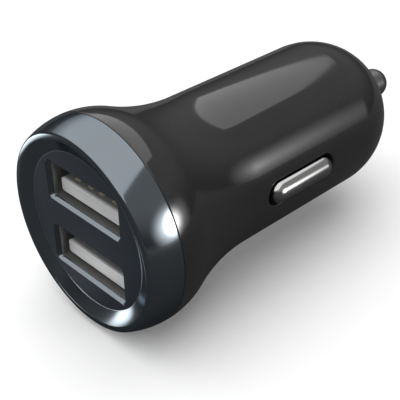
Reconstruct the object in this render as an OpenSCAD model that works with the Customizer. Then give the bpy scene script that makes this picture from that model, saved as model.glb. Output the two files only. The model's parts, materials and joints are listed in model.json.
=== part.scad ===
// Charger plug for a vehicle's power socket, with two USB sockets in its flared head.
// The plug lies along Y: its face looks to -Y, its spring tip points to +Y, and +Z is up.
// The origin is on the axis where the straight barrel starts, which is the socket's mouth.

/* [Head] */
// Largest outside diameter of the head
head_d = 27.6; // [26.8:0.2:30]
// Distance from the rim back to the largest diameter
crown_y = 4.5; // [4.2:0.1:5.5]
// Radius of the bulge of the head, seen from the side
crown_radius = 10.6; // [10:0.2:14]
// Distance from the largest diameter back to the start of the barrel
flare_len = 15.4; // [14:0.2:18]
// Rounding of the rim's outer edge
rim_round = 0.4; // [0.2:0.05:0.5]

/* [Front cap] */
// Length of the cap that shows, from the rim to the seam
cap_len = 4.2; // [3.8:0.1:5]
// Distance from the largest radius in to the edge of the mouth
mouth_inset = 1.75; // [1.5:0.05:2]
// Width of the chamfer from the mouth to the recessed face
chamfer_w = 1.75; // [1.4:0.05:2]
// Depth of the face behind the rim
face_depth = 0.9; // [0.6:0.1:1.4]
// Thickness of the face plate
plate_t = 1.6; // [1.3:0.1:2]
// Length of the spigot that plugs into the housing
spigot_len = 3; // [2.4:0.1:3.4]
// Wall of the spigot
spigot_wall = 1.1; // [0.9:0.1:1.3]
// Height of the snap ring on the spigot
snap_h = 0.25; // [0.15:0.05:0.3]

/* [Housing] */
// Diameter of the barrel
barrel_d = 21; // [20.8:0.1:21.4]
// Length of the straight part of the barrel
barrel_len = 21.1; // [20.6:0.1:26]
// Wall thickness of the housing
wall = 1.5; // [1.3:0.1:1.6]
// Wall of the housing around the cap's spigot, at the largest diameter
socket_wall = 1.7; // [1.6:0.1:1.9]
// Thickness of the rounded end around the tip's bore
nose_wall = 3.2; // [2.6:0.1:3.8]
// Wall of the tube that guides the tip's flange and spring
guide_wall = 1.2; // [0.8:0.1:1.6]
// Length of the rails that hold the board's far end
rail_len = 4.5; // [3:0.1:4.8]
// Thickness of the rails and ribs beside the board
rib_t = 1; // [0.6:0.1:1.2]
// Width over which rails and ribs hold the board's edges
rib_grip = 1; // [0.6:0.1:1.2]

/* [USB sockets] */
// Distance between the middles of the two sockets
port_pitch = 9.2; // [9.1:0.1:9.4]
// Width of the windows in the face
window_w = 13; // [12.6:0.1:13.1]
// Height of the windows in the face
window_h = 5; // [4.8:0.1:5.1]
// Corner radius of the windows
window_round = 0.4; // [0.2:0.1:0.6]
// Depth of the window's own edge, behind which the metal shell starts
window_lip = 0.6; // [0.4:0.1:0.8]
// Inside width of the metal shell
shell_in_w = 12.5; // [12.4:0.1:12.6]
// Inside height of the metal shell
shell_in_h = 5.12; // [5.02:0.02:5.22]
// Sheet thickness of the metal shell
shell_t = 0.3; // [0.25:0.05:0.35]
// Length of the metal shell
shell_len = 10.4; // [9.8:0.1:10.8]
// Room at each side of the tongue, to the shell
tongue_side_gap = 0.7; // [0.6:0.05:0.75]
// Thickness of the tongue
tongue_t = 1.84; // [1.78:0.02:1.9]
// Gap below the tongue, to the floor of the shell
tongue_gap = 0.85; // [0.75:0.05:0.95]
// Distance from the face back to the tongue's end
tongue_setback = 1.2; // [0.8:0.1:1.6]
// Thickness of the insulator's block at the back of the shell
back_block_t = 2.8; // [2.2:0.1:3.2]
// Width of a contact strip
strip_w = 1; // [0.8:0.05:1.1]
// Thickness of a contact strip
strip_t = 0.2; // [0.15:0.05:0.25]
// Height of the bump at the front of a contact strip
strip_bump = 0.4; // [0.3:0.05:0.45]
// Width of a spring tab in the shell
tab_w = 1.3; // [1:0.1:1.5]
// Length of a spring tab in the shell
tab_len = 4.2; // [3.6:0.1:4.6]
// Distance from the shell's back end to the root of a spring tab
tab_setback = 2.7; // [2.4:0.1:3]
// Angle by which a spring tab leans into the shell
tab_lean = 3.5; // [2:0.5:4]
// Width of the legs that hold the shell in the board
leg_w = 1.2; // [0.9:0.1:1.4]
// Distance from the front of the lower shell to its first pair of legs
leg_setback = 2.2; // [2:0.1:2.4]
// Distance between the two pairs of legs of a shell
leg_pitch = 3.6; // [3.4:0.1:3.8]
// Distance by which the upper shell's legs stand behind those of the lower one
leg_stagger = 1.8; // [1.7:0.1:1.9]

/* [Spring tip] */
// Diameter of the tip
tip_d = 4.4; // [4:0.1:5]
// Distance by which the tip stands out of the rounded end
tip_reach = 6.2; // [5.4:0.1:7]
// Distance by which the tip can be pressed in
tip_travel = 3; // [2:0.1:3.2]
// Diameter of the tip's flange
flange_d = 6.6; // [6.4:0.1:7]
// Thickness of the tip's flange
flange_t = 1; // [0.8:0.1:1.2]
// Length of the coil spring behind the tip
coil_len = 5.8; // [5.6:0.1:6.2]
// Wire diameter of the coil spring
coil_wire = 0.45; // [0.35:0.05:0.5]
// Mean diameter of the coil spring
coil_d = 4.6; // [4.4:0.1:4.8]
// Turns of the coil spring
coil_turns = 5; // [4:0.5:5]
// Diameter of the studs that centre the coil spring
stud_d = 2.8; // [2.2:0.1:3]

/* [Side contacts] */
// Distance from the start of the barrel to the middle of a side contact
contact_setback = 7.6; // [7.4:0.1:8.2]
// Length of the bulge that shows
boat_len = 11.1; // [10:0.1:11.4]
// Width of the bulge that shows
boat_w = 3.1; // [2.8:0.1:3.3]
// Height of the bulge over the barrel
boat_rise = 1.05; // [0.95:0.05:1.2]
// Distance by which a side contact can be pressed in
contact_travel = 0.9; // [0.8:0.05:0.95]
// Sheet thickness of a side contact
contact_t = 0.4; // [0.3:0.05:0.45]
// Room at each end of the bulge in its slot
slot_end_gap = 0.6; // [0.4:0.05:0.7]
// Room at each side of the bulge in its slot
slot_side_gap = 0.25; // [0.15:0.05:0.3]
// Width by which the flange reaches past the slot
contact_flange = 0.45; // [0.35:0.05:0.5]
// Room left for the bow spring when its contact is pressed in
bow_room = 0.9; // [0.7:0.05:1]
// Thickness of the bow spring under a side contact
bow_t = 0.25; // [0.2:0.05:0.3]
// Length of the bow spring
bow_len = 11; // [9:0.5:12]
// Width of the bow spring
bow_w = 2.4; // [1.8:0.1:2.8]

/* [Board] */
// Thickness of the board
board_t = 1.2; // [1:0.1:1.4]
// Diameter of the two can capacitors
can_d = 6.3; // [6:0.1:6.5]
// Height of the two cans
can_h = 6; // [5:0.1:6.2]
// Thickness of the plastic bases under the cans
can_base_t = 0.9; // [0.6:0.1:1]
// Diameter of the inductor's flanges
drum_d = 7.8; // [7:0.1:8]
// Height of the inductor
drum_h = 5; // [4.4:0.1:5.4]
// Thickness of the inductor's flanges
drum_flange_t = 0.8; // [0.6:0.1:1]
// Diameter of the inductor's core
drum_core_d = 4; // [3.6:0.1:4.4]
// Wire diameter of the winding
winding_wire = 0.56; // [0.5:0.02:0.6]
// Distance between the leads of the converter chip
converter_pitch = 1.27; // [1.2:0.01:1.3]
// Distance between the leads of the port control chip
control_pitch = 0.95; // [0.9:0.05:1]
// Distance from the board's waist in to the middle of the small parts
small_part_inset = 1.25; // [1.1:0.05:1.4]
// Distance between the small parts in their rows
small_part_step = 2.9; // [2.6:0.1:3.1]

/* [Fits] */
// Clearance between fixed pieces that plug into each other
fit_gap = 0.05; // [0.03:0.01:0.08]
// Radial clearance of the tip in its bore
running_gap = 0.08; // [0.05:0.01:0.1]
// Clearance beside the board and behind loose ends
loose_gap = 0.1; // [0.05:0.05:0.2]
// Clearance between a curved wall and a flat piece that moves inside it
curve_gap = 0.28; // [0.2:0.02:0.3]

/* [Hidden] */
$fn = 96;
head_r = head_d / 2;
barrel_r = barrel_d / 2;
bore_r = barrel_r - wall;

// Two tangent arcs join the head to the barrel. All y values count from the rim.
flare_drop = head_r - barrel_r;
arc_sum = (pow(flare_len, 2) + pow(flare_drop, 2)) / (2 * flare_drop);
neck_radius = arc_sum - crown_radius;
neck_end = crown_y + flare_len;
crown_x = head_r - crown_radius;
tail_y = neck_end + barrel_len;
body_len = tail_y + barrel_r;

// The rim's rounding touches the front plane and the bulge of the head.
rim_x = crown_x + sqrt(pow(crown_radius - rim_round, 2) - pow(crown_y - rim_round, 2));
mouth_r = head_r - mouth_inset;
face_r = mouth_r - chamfer_w;
plate_back = face_depth + plate_t;
spigot_r = head_r - socket_wall;
spigot_end = cap_len + spigot_len;
snap_y = spigot_end - 1.1;
snap_half = 0.5;

shell_w = shell_in_w + 2 * shell_t;
shell_h = shell_in_h + 2 * shell_t;
shell_round = 0.6;
shell_y = face_depth + window_lip;
shell_end = shell_y + shell_len;
foot_cut = 1.5;
tongue_w = shell_in_w - 2 * tongue_side_gap;
tongue_y = face_depth + tongue_setback;
tongue_z = tongue_gap - shell_in_h / 2;
tongue_top = tongue_z + tongue_t;
tongue_round = 0.35;
block_end = shell_end + 0.4;
block_y = block_end - back_block_t;
strip_x = [-3.5, -1, 1, 3.5];
strip_y = tongue_y + 0.9;
strip_sink = strip_t / 2;
tail_strip_y = block_end + loose_gap;
solder_foot = 1.2;
tab_x = [-3.2, 3.2];
tab_root = shell_end - tab_setback;
tab_slit = 0.3;
lower_legs = [for (i = [0, 1]) shell_y + leg_setback + i * leg_pitch];
upper_legs = [for (y = lower_legs) y + leg_stagger];
leg_past = 0.5;

board_half = bore_r - 0.6;
board_y = plate_back + 0.3;

// The tip's flange rests on the seat inside the rounded end.
seat_y = body_len - nose_wall;
flange_y = seat_y - fit_gap - flange_t;
tip_end = body_len + tip_reach;
terminal_y = flange_y - coil_len;
terminal_t = 0.5;
terminal_leg = 3;
board_end = terminal_y - terminal_t;
pocket_r = flange_d / 2 + loose_gap;
guide_r = pocket_r + guide_wall;
guide_y = terminal_y + 0.3;
stud_gap = 0.4;
stud_len = (coil_len - tip_travel - stud_gap) / 3;
tip_stud_len = 2 * stud_len;
rail_end = board_end - 1;

contact_y = neck_end + contact_setback;
boat_r = boat_w / 2;
boat_x = barrel_r + boat_rise - boat_r;
slot_w = boat_w + 2 * slot_side_gap;
slot_len = boat_len + 2 * slot_end_gap;
flange_half = slot_w / 2 + contact_flange;
flange_x = sqrt(pow(bore_r, 2) - pow(flange_half, 2)) - curve_gap;
flange_len = slot_len + 2 * contact_flange + 0.6;
waist_half = flange_x - contact_t - contact_travel - bow_room;
waist_y = [contact_y - flange_len / 2 - 0.6, contact_y + flange_len / 2 + 0.5];

// The parts on each side of the board share its free length, from the sockets to the terminal.
base_w = can_d + 0.3;
converter_size = [3.9, 4.9, 1.45];
diode_size = [2.6, 4.3, 2.2];
diode_strip = 0.15;
diode_len = diode_size.y + 2 * diode_strip;
fuse_size = [2.7, 6.1, 2.7];
fuse_cap_len = 1.2;
control_size = [1.6, 2.9, 1.1];
row_y = tail_strip_y + strip_t + solder_foot;
row_len = board_end - terminal_leg - row_y;
upper_gap = (row_len - drum_d - base_w - converter_size.y) / 4;
drum_y = row_y + upper_gap + drum_d / 2;
input_can_y = drum_y + (drum_d + base_w) / 2 + upper_gap;
converter_y = input_can_y + (base_w + converter_size.y) / 2 + upper_gap;
lower_gap = (row_len - base_w - diode_len - fuse_size.y - control_size.y) / 5;
output_can_y = row_y + lower_gap + base_w / 2;
diode_y = output_can_y + (base_w + diode_len) / 2 + lower_gap;
fuse_y = diode_y + (diode_len + fuse_size.y) / 2 + lower_gap;
control_y = fuse_y + (fuse_size.y + control_size.y) / 2 + lower_gap;
chip_lift = 0.15;
ceramic_size = [1.25, 2, 0.85];
resistor_size = [0.8, 1.6, 0.45];
small_part_x = waist_half - small_part_inset;

// Moves what is measured from the rim to the part's origin.
module in_place() {
    translate([0, -neck_end, 0]) children();
}

// Turns a profile, x as radius and y as distance from the rim, about the plug's axis. The turned
// faces start and end at the bottom, away from the slots of the side contacts.
module turned() {
    rotate([-90, 90, 0]) rotate_extrude() children();
}

// A box between two corners.
module block(low, high) {
    translate(low) cube(high - low);
}

module rounded_rect(w, h, r) {
    square([w - 2 * r, h], center = true);
    square([w, h - 2 * r], center = true);
    for (x = [-1, 1], y = [-1, 1]) {
        translate([x * (w / 2 - r), y * (h / 2 - r)]) circle(r);
    }
}

// A bar of rounded rectangular section along the axis.
module bar(w, h, r, from, to) {
    translate([0, from, 0]) rotate([-90, 0, 0]) linear_extrude(to - from) rounded_rect(w, h, r);
}

// A disc or post standing on the board.
module post(d, h) {
    cylinder(d = d, h = h);
}

// A slot-shaped plate across X, with round ends along Y.
module pill(len, w, from, to) {
    run = len - w;
    translate([from, -run / 2, -w / 2]) cube([to - from, run, w]);
    for (y = [-1, 1]) {
        translate([from, y * run / 2, 0]) rotate([0, 90, 0]) cylinder(d = w, h = to - from);
    }
}

// The plug's outline from the rim to the rounded end, moved inwards by the inset.
module outline(inset = 0) {
    blend_y = crown_y + (crown_radius - inset) * flare_len / arc_sum;
    intersection() {
        translate([crown_x, crown_y]) circle(crown_radius - inset);
        square([head_r, blend_y]);
    }
    difference() {
        translate([0, blend_y]) square([barrel_r + neck_radius, neck_end - blend_y]);
        translate([barrel_r + neck_radius, neck_end]) circle(neck_radius + inset);
    }
    translate([0, neck_end]) square([barrel_r - inset, barrel_len]);
    intersection() {
        translate([0, tail_y]) circle(barrel_r - inset);
        translate([0, tail_y]) square([barrel_r, barrel_r]);
    }
}

// The ring by which the cap snaps into the housing.
module snap_ring(extra = 0) {
    r = spigot_r;
    polygon([
        [r - 0.4, snap_y - snap_half - extra],
        [r, snap_y - snap_half - extra],
        [r + snap_h + extra, snap_y],
        [r, snap_y + snap_half + extra],
        [r - 0.4, snap_y + snap_half + extra]
    ]);
}

// The room of both metal shells, which the flare comes close to.
module port_rooms(from, to) {
    for (z = [-1, 1]) {
        translate([0, 0, z * port_pitch / 2])
            bar(shell_w + 2 * fit_gap, shell_h + 2 * fit_gap, shell_round, from, to);
    }
}

// Two bars above and below the board's edge, at both sides of the plug.
module edge_ribs(reach, from, to) {
    low = board_t / 2 + loose_gap;
    for (x = [-1, 1], z = [-1, 1]) {
        mirror([x < 0 ? 1 : 0, 0, 0]) mirror([0, 0, z < 0 ? 1 : 0])
            block([board_half - rib_grip, from, low], [reach, to, low + rib_t]);
    }
}

module housing() {
    color("#26282b") in_place() difference() {
        union() {
            turned() difference() {
                union() {
                    difference() {
                        outline();
                        outline(wall);
                    }
                    intersection() {
                        outline();
                        translate([0, guide_y]) square([guide_r, body_len]);
                    }
                }
                square([head_r + 1, cap_len]);
                square([spigot_r + fit_gap, spigot_end + 0.3]);
                snap_ring(fit_gap);
                translate([0, guide_y - 1]) square([pocket_r, seat_y - guide_y + 1]);
                square([tip_d / 2 + running_gap, body_len + 1]);
            }
            edge_ribs(bore_r + wall / 4, rail_end - rail_len, rail_end);
        }
        for (x = [0, 1]) {
            mirror([x, 0, 0]) translate([0, contact_y, 0])
                pill(slot_len, slot_w, bore_r - wall, barrel_r + 1);
        }
        port_rooms(spigot_end, shell_end + fit_gap);
    }
}

module front_cap() {
    color("#39424a") in_place() difference() {
        union() {
            turned() difference() {
                union() {
                    intersection() {
                        outline();
                        translate([0, rim_round]) square([head_r, cap_len - rim_round]);
                    }
                    translate([rim_x, rim_round]) circle(rim_round);
                    square([rim_x, rim_round * 1.5]);
                    translate([0, cap_len - 0.5]) square([spigot_r, spigot_len + 0.5]);
                    snap_ring();
                }
                polygon([
                    [0, -1], [mouth_r, -1], [mouth_r, 0],
                    [face_r, face_depth], [0, face_depth]
                ]);
                translate([0, plate_back]) square([spigot_r - spigot_wall, spigot_end]);
            }
            edge_ribs(spigot_r - spigot_wall * 0.7, plate_back - 0.3, spigot_end);
        }
        for (z = [-1, 1]) {
            translate([0, 0, z * port_pitch / 2])
                bar(window_w, window_h, window_round, 0, plate_back + 1);
        }
        port_rooms(shell_y, spigot_end + 1);
    }
}

// A sheet-metal shell. Its board lies towards dir, and its legs go through the board.
module port_shell(z, dir, legs) {
    far_side = -z + dir * (board_t / 2 + leg_past);
    color("#b9b4ac") in_place() translate([0, 0, z]) {
        difference() {
            bar(shell_w, shell_h, shell_round, shell_y, shell_end);
            bar(shell_in_w, shell_in_h, shell_round - shell_t, shell_y - 1, shell_end + 1);
            block(
                [-shell_in_w / 2, shell_end - foot_cut, dir > 0 ? 0 : -shell_h],
                [shell_in_w / 2, shell_end + 1, dir > 0 ? shell_h : 0]
            );
            for (x = tab_x) {
                block(
                    [x - tab_w / 2 - tab_slit, tab_root - tab_len - tab_slit, -shell_h],
                    [x + tab_w / 2 + tab_slit, tab_root, shell_h]
                );
            }
        }
        for (x = tab_x, side = [-1, 1]) {
            mirror([0, 0, side < 0 ? 1 : 0])
                translate([x - tab_w / 2, tab_root, shell_h / 2])
                    rotate([tab_lean, 0, 0])
                        translate([0, -tab_len, -shell_t]) cube([tab_w, tab_len + 0.4, shell_t]);
        }
        for (x = [0, 1], y = legs) {
            mirror([x, 0, 0]) block(
                [shell_w / 2 - shell_t, y - leg_w / 2, min(far_side, dir * 2)],
                [shell_w / 2, y + leg_w / 2, max(far_side, dir * 2)]
            );
        }
    }
}

// The moulded tongue with its block, which stands on the board by a foot.
module port_insulator(z, dir) {
    inner_w = shell_in_w - 2 * fit_gap;
    inner_h = shell_in_h - 2 * fit_gap;
    board_face = -z + dir * -board_t / 2;
    color("#b8babb") in_place() translate([0, 0, z]) difference() {
        union() {
            translate([0, 0, tongue_z + tongue_t / 2])
                bar(tongue_w, tongue_t, tongue_round, tongue_y, block_y + 0.5);
            bar(inner_w, inner_h, shell_round - shell_t, block_y, block_end);
            block(
                [-inner_w / 2 + 0.3, shell_end - foot_cut + fit_gap, min(board_face, dir)],
                [inner_w / 2 - 0.3, block_end, max(board_face, dir)]
            );
        }
        for (x = strip_x) {
            block(
                [x - strip_w / 2 - fit_gap, strip_y - fit_gap, tongue_top - strip_sink],
                [x + strip_w / 2 + fit_gap, block_end + 1, tongue_top + strip_sink + fit_gap]
            );
        }
    }
}

// Four contact strips along the tongue, with tails soldered to the board.
module port_contacts(z, dir) {
    low = tongue_top - strip_sink;
    high = tongue_top + strip_sink;
    board_face = -z + dir * -board_t / 2;
    bump_r = 0.6;
    color("#c9ab62") in_place() translate([0, 0, z]) for (x = strip_x) {
        block(
            [x - strip_w / 2, strip_y, low],
            [x + strip_w / 2, tail_strip_y + strip_t, high]
        );
        intersection() {
            translate([x - strip_w / 2, strip_y + 1, high + strip_bump - bump_r])
                rotate([0, 90, 0]) cylinder(r = bump_r, h = strip_w);
            block([x - strip_w, strip_y, low], [x + strip_w, strip_y + 2, high + 1]);
        }
        block(
            [x - strip_w / 2, tail_strip_y, min(board_face, low)],
            [x + strip_w / 2, tail_strip_y + strip_t, max(board_face, high)]
        );
        block(
            [x - strip_w / 2, tail_strip_y, min(board_face, board_face - dir * strip_t)],
            [x + strip_w / 2, tail_strip_y + strip_t + solder_foot,
                max(board_face, board_face - dir * strip_t)]
        );
    }
}

module upper_port_shell() {
    port_shell(port_pitch / 2, -1, upper_legs);
}

module upper_port_insulator() {
    port_insulator(port_pitch / 2, -1);
}

module upper_port_contacts() {
    port_contacts(port_pitch / 2, -1);
}

module lower_port_shell() {
    port_shell(-port_pitch / 2, 1, lower_legs);
}

module lower_port_insulator() {
    port_insulator(-port_pitch / 2, 1);
}

module lower_port_contacts() {
    port_contacts(-port_pitch / 2, 1);
}

// The board is narrower beside the side contacts, and its slots take the shells' legs.
module circuit_board() {
    leg_x = shell_w / 2 - shell_t / 2;
    color("#1f5a3a") in_place() difference() {
        block([-board_half, board_y, -board_t / 2], [board_half, board_end, board_t / 2]);
        for (x = [0, 1]) {
            mirror([x, 0, 0]) {
                block([waist_half, waist_y[0], -board_t], [board_half + 1, waist_y[1], board_t]);
                for (y = concat(upper_legs, lower_legs)) {
                    block(
                        [leg_x - shell_t / 2 - loose_gap, y - leg_w / 2 - loose_gap, -board_t],
                        [leg_x + shell_t / 2 + loose_gap, y + leg_w / 2 + loose_gap, board_t]
                    );
                }
            }
        }
    }
}

// Stands a part on the board's upper side, or hangs it from the lower side.
module on_board(y, side) {
    mirror([0, 0, side < 0 ? 1 : 0]) translate([0, y, board_t / 2]) children();
}

module capacitor_can(y, side) {
    groove_z = 1.1;
    color("#c4c8cc") in_place() on_board(y, side) translate([0, 0, can_base_t])
        rotate_extrude() difference() {
            union() {
                square([can_d / 2 - 0.25, can_h]);
                square([can_d / 2, can_h - 0.25]);
                translate([can_d / 2 - 0.25, can_h - 0.25]) circle(0.25);
            }
            translate([can_d / 2 + 0.15, groove_z]) circle(0.35);
        }
}

// A moulded base with two cut corners.
module capacitor_base(y, side) {
    half = base_w / 2;
    cut = 1.2;
    color("#1a1a1a") in_place() on_board(y, side) linear_extrude(can_base_t) polygon([
        [-half, -half], [half, -half], [half, half - cut],
        [half - cut, half], [cut - half, half], [-half, half - cut]
    ]);
}

module input_capacitor_can() {
    capacitor_can(input_can_y, 1);
}

module input_capacitor_base() {
    capacitor_base(input_can_y, 1);
}

module output_capacitor_can() {
    capacitor_can(output_can_y, -1);
}

module output_capacitor_base() {
    capacitor_base(output_can_y, -1);
}

// A drum core: two flanges on one post.
module inductor_core() {
    color("#3b3b3d") in_place() on_board(drum_y, 1) {
        post(drum_d, drum_flange_t);
        post(drum_core_d, drum_h);
        translate([0, 0, drum_h - drum_flange_t]) post(drum_d, drum_flange_t);
    }
}

// The winding between the flanges: one ridge for each turn of the outer layer.
module inductor_winding() {
    room = drum_h - 2 * drum_flange_t - 2 * loose_gap;
    turns = floor(room / winding_wire);
    step = room / turns;
    inner = drum_core_d / 2 + fit_gap;
    outer = drum_d / 2 - 0.4;
    color("#b5652f") in_place() on_board(drum_y, 1)
        translate([0, 0, drum_flange_t + loose_gap]) rotate_extrude() {
            translate([inner, 0]) square([outer - inner - step / 2, room]);
            for (i = [0 : turns - 1]) {
                translate([outer - step / 2, (i + 0.5) * step]) circle(d = step);
            }
        }
}

module chip_body(y, side, size) {
    color("#1c1c1e") in_place() on_board(y, side)
        translate([0, 0, chip_lift + size.z / 2]) cube(size, center = true);
}

// Bent leads along both long sides of a chip.
module chip_leads(y, side, size, count, pitch, w) {
    lead_t = 0.2;
    reach = 1;
    knee = 0.45;
    mid = chip_lift + size.z / 2;
    color("#d2d4d6") in_place() on_board(y, side) for (x = [0, 1], i = [0 : count - 1]) {
        mirror([x, 0, 0]) translate([size.x / 2, (i - (count - 1) / 2) * pitch - w / 2, 0]) {
            translate([0, 0, mid - lead_t / 2]) cube([knee, w, lead_t]);
            translate([knee - lead_t, 0, 0]) cube([lead_t, w, mid + lead_t / 2]);
            translate([knee - lead_t, 0, 0]) cube([reach - knee + lead_t, w, lead_t]);
        }
    }
}

module converter_chip() {
    chip_body(converter_y, 1, converter_size);
}

module converter_leads() {
    chip_leads(converter_y, 1, converter_size, 4, converter_pitch, converter_pitch / 3);
}

module port_control_chip() {
    chip_body(control_y, -1, control_size);
}

module port_control_leads() {
    chip_leads(control_y, -1, control_size, 3, control_pitch, control_pitch * 0.4);
}

module rectifier_diode() {
    chip_body(diode_y, -1, diode_size);
}

// Two strips bent under the ends of the diode.
module diode_terminals() {
    under = 1.1;
    w = 1.5;
    end = diode_size.y / 2;
    color("#d2d4d6") in_place() on_board(diode_y, -1) for (y = [0, 1]) {
        mirror([0, y, 0]) {
            translate([-w / 2, end - under, 0]) cube([w, under + diode_strip, chip_lift]);
            translate([-w / 2, end, 0]) cube([w, diode_strip, chip_lift + diode_size.z / 2]);
        }
    }
}

module fuse_body() {
    length = fuse_size.y - 2 * fuse_cap_len;
    color("#e8e4da") in_place() on_board(fuse_y, -1)
        translate([-fuse_size.x / 2 + 0.1, -length / 2, 0.1])
            cube([fuse_size.x - 0.2, length, fuse_size.z - 0.2]);
}

module fuse_caps() {
    color("#d2d4d6") in_place() on_board(fuse_y, -1) for (y = [0, 1]) {
        mirror([0, y, 0])
            translate([-fuse_size.x / 2, fuse_size.y / 2 - fuse_cap_len, 0])
                cube([fuse_size.x, fuse_cap_len, fuse_size.z]);
    }
}

// Small parts in two rows beside the large ones.
module small_parts(size, side, count) {
    in_place() for (x = [-1, 1], i = [0 : count - 1]) {
        on_board(waist_y[0] + 1.9 + i * small_part_step, side)
            translate([x * small_part_x, 0, size.z / 2]) cube(size, center = true);
    }
}

module ceramic_capacitors() {
    color("#b08a62") small_parts(ceramic_size, 1, 3);
}

module chip_resistors() {
    color("#2c2c30") small_parts(resistor_size, -1, 4);
}

// A turned pin: a domed nose, a shank in the bore, a flange and a stud for the spring.
module tip_contact() {
    nose_r = tip_d / 2;
    color("#8d8f92") in_place() turned() {
        translate([0, flange_y]) square([nose_r, tip_end - nose_r - flange_y]);
        intersection() {
            translate([0, tip_end - nose_r]) circle(nose_r);
            translate([0, tip_end - nose_r]) square(nose_r);
        }
        translate([0, flange_y]) square([flange_d / 2, flange_t]);
        translate([0, flange_y - tip_stud_len]) square([stud_d / 2, tip_stud_len]);
    }
}

// Centre line of the coil: half a turn at each end lies close, as on a wound spring.
function coil_rise(t) =
    let (
        dead = 0.5,
        pitch = (coil_len - 2 * fit_gap - coil_wire * (1 + 2 * dead)) / (coil_turns - 2 * dead)
    )
    t < dead ? t * coil_wire
        : t > coil_turns - dead
            ? dead * coil_wire + (coil_turns - 2 * dead) * pitch + (t - coil_turns + dead) * coil_wire
            : dead * coil_wire + (t - dead) * pitch;

module tip_spring() {
    sides = 8;
    steps = 24 * coil_turns;
    points = [
        for (i = [0 : steps], j = [0 : sides - 1])
            let (
                turn = i / steps * coil_turns,
                around = 360 * j / sides,
                r = coil_d / 2 + coil_wire / 2 * cos(around)
            )
            [
                r * cos(360 * turn),
                terminal_y + fit_gap + coil_wire / 2 + coil_rise(turn) + coil_wire / 2 * sin(around),
                r * sin(360 * turn)
            ]
    ];
    skin = [
        for (i = [0 : steps - 1], j = [0 : sides - 1])
            [
                i * sides + j, i * sides + (j + 1) % sides,
                (i + 1) * sides + (j + 1) % sides, (i + 1) * sides + j
            ]
    ];
    first = [for (j = [0 : sides - 1]) sides - 1 - j];
    last = [for (j = [0 : sides - 1]) steps * sides + j];
    color("#9a9ca0") in_place() polyhedron(points, concat([first], skin, [last]));
}

// The disc that carries the coil spring, with two legs that clasp the board.
module tip_terminal() {
    leg_half = 2;
    leg_t = 0.4;
    color("#c8a458") in_place() {
        turned() {
            translate([0, board_end]) square([flange_d / 2, terminal_t]);
            translate([0, terminal_y]) square([stud_d / 2, stud_len]);
        }
        for (side = [1, -1]) {
            mirror([0, 0, side < 0 ? 1 : 0]) block(
                [-leg_half, board_end - terminal_leg, board_t / 2],
                [leg_half, board_end + terminal_t / 2, board_t / 2 + leg_t]
            );
        }
    }
}

// A stamped contact: a hollow bulge that shows in the slot, on a flange that stays inside.
module side_contact() {
    run = boat_len - boat_w;
    inner_r = boat_r - contact_t;
    color("#c9cdd0") in_place() translate([0, contact_y, 0]) difference() {
        union() {
            pill(flange_len, 2 * flange_half, flange_x - contact_t, flange_x);
            pill(boat_len, boat_w, flange_x - contact_t, boat_x);
            translate([boat_x, -run / 2, 0]) rotate([-90, 0, 0]) cylinder(r = boat_r, h = run);
            for (y = [-1, 1]) {
                translate([boat_x, y * run / 2, 0]) sphere(boat_r);
            }
        }
        pill(boat_len - 2 * contact_t, boat_w - 2 * contact_t, flange_x - contact_t - 1, boat_x);
        translate([boat_x, -run / 2, 0]) rotate([-90, 0, 0]) cylinder(r = inner_r, h = run);
        for (y = [-1, 1]) {
            translate([boat_x, y * run / 2, 0]) sphere(inner_r);
        }
    }
}

// A bow spring between the board's waist and the underside of the flange.
module bow_spring() {
    foot_x = waist_half + fit_gap;
    rise = flange_x - contact_t - fit_gap - bow_t - foot_x;
    inner_r = (pow(bow_len / 2, 2) + pow(rise, 2)) / (2 * rise);
    color("#b7b9bb") in_place() translate([0, contact_y, -bow_w / 2]) linear_extrude(bow_w)
        intersection() {
            translate([foot_x + rise - inner_r, 0]) difference() {
                circle(inner_r + bow_t, $fn = 180);
                circle(inner_r, $fn = 180);
            }
            translate([foot_x, -bow_len / 2]) square([rise + bow_t + 1, bow_len]);
        }
}

module right_side_contact() {
    side_contact();
}

module left_side_contact() {
    mirror([1, 0, 0]) side_contact();
}

module right_contact_spring() {
    bow_spring();
}

module left_contact_spring() {
    mirror([1, 0, 0]) bow_spring();
}

housing();
front_cap();
circuit_board();
upper_port_shell();
upper_port_insulator();
upper_port_contacts();
lower_port_shell();
lower_port_insulator();
lower_port_contacts();
inductor_core();
inductor_winding();
input_capacitor_can();
input_capacitor_base();
output_capacitor_can();
output_capacitor_base();
converter_chip();
converter_leads();
port_control_chip();
port_control_leads();
rectifier_diode();
diode_terminals();
fuse_body();
fuse_caps();
ceramic_capacitors();
chip_resistors();
tip_contact();
tip_spring();
tip_terminal();
left_side_contact();
right_side_contact();
left_contact_spring();
right_contact_spring();
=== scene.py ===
"""The looks of a charger plug for a vehicle's power socket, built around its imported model."""
import json
import math

import bmesh
import bpy
from bpy.props import FloatProperty, FloatVectorProperty, IntProperty, PointerProperty
from bpy.types import Operator, Panel, PropertyGroup
from mathutils import Matrix, Quaternion, Vector


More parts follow.
